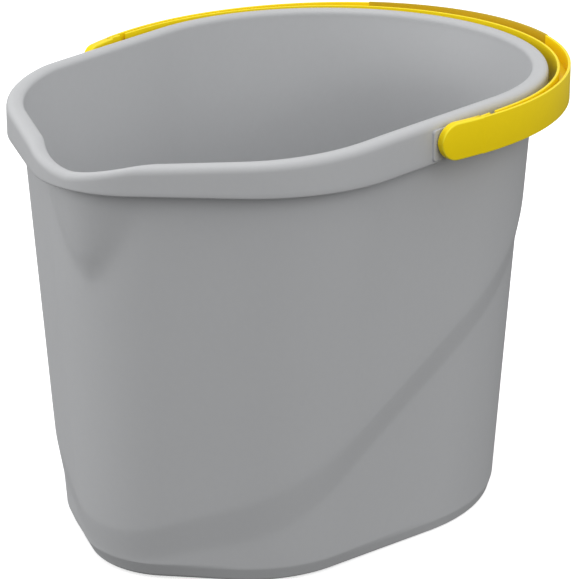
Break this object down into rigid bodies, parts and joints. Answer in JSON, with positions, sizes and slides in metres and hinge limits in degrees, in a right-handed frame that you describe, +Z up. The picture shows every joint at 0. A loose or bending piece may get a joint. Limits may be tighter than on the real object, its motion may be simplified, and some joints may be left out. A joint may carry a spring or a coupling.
{
  "type": "cleaning bucket with bail handle",
  "caption": "Oblong plastic floor-cleaning bucket with a pouring spout, a hanging rim skirt and a swinging bail handle stowed round the rear of the rim.",
  "frame": {"origin": "on the flat underside of the tub, on its middle plane, under the middle of the length of the rim", "axes": "+Z up, the pouring spout faces -Y, the rounded back faces +Y, and the bail pivots about X"},
  "size_m": [0.3114, 0.4154, 0.2856],
  "materials": {
    "tub_plastic": "satin moulded polypropylene, mid grey",
    "handle_plastic": "satin moulded polypropylene, yellow",
    "grip_plastic": "soft-touch sleeve, darker yellow"
  },
  "bodies": {
    "tub": {"tub": "tub_plastic"},
    "bail": {"bail_handle": "handle_plastic", "bail_grip": "grip_plastic"}
  },
  "joints": [
    {"name": "bail_pivot", "type": "hinge", "parent": "tub", "child": "bail", "pos_m": [0, -0.0045, 0.2731], "axis": [1, 0, 0], "range_deg": [0, 180]}
  ]
}
